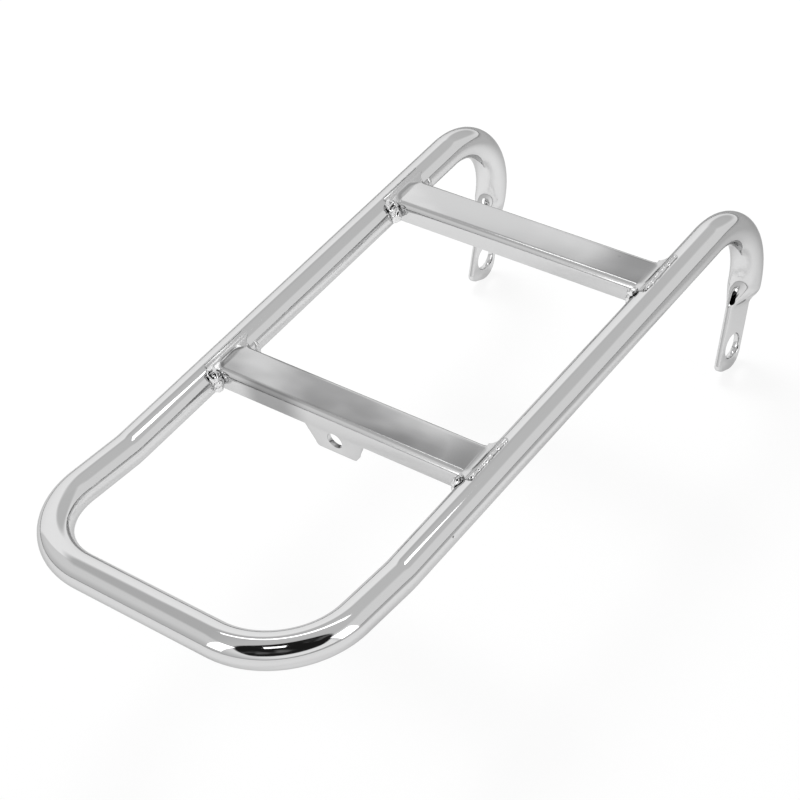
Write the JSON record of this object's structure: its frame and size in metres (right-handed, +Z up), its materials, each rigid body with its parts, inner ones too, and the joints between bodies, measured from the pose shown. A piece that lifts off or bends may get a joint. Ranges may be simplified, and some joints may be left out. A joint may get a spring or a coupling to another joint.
{
  "type": "motorcycle luggage rack",
  "caption": "Chromed tubular motorcycle luggage rack with a kicked-up closed end, pressed crossmembers, a bracket lug, and hooked ends pressed into drilled tabs.",
  "frame": {"origin": "middle of the line through both bolt holes, in the tabs at the ends of the hooks", "axes": "+X across the rack along the bolt line, +Y towards the hooks, +Z up, out of the load deck"},
  "size_m": [0.1344, 0.2838, 0.0845],
  "materials": {
    "tube_chrome": "bright chrome plate",
    "pressing_chrome": "chrome plate over a pressed surface, a little softer than the tube",
    "weld_chrome": "chrome plate over rippled weld metal"
  },
  "bodies": {
    "root": {"frame_tube": "tube_chrome", "front_crossmember": "pressing_chrome", "rear_crossmember": "pressing_chrome", "weld_front_left_lip": "weld_chrome", "weld_front_left_hook_side": "weld_chrome", "weld_front_left_tail_side": "weld_chrome", "weld_front_right_lip": "weld_chrome", "weld_front_right_hook_side": "weld_chrome", "weld_front_right_tail_side": "weld_chrome", "weld_rear_left_lip": "weld_chrome", "weld_rear_left_hook_side": "weld_chrome", "weld_rear_left_tail_side": "weld_chrome", "weld_rear_right_lip": "weld_chrome", "weld_rear_right_hook_side": "weld_chrome", "weld_rear_right_tail_side": "weld_chrome"}
  },
  "joints": []
}
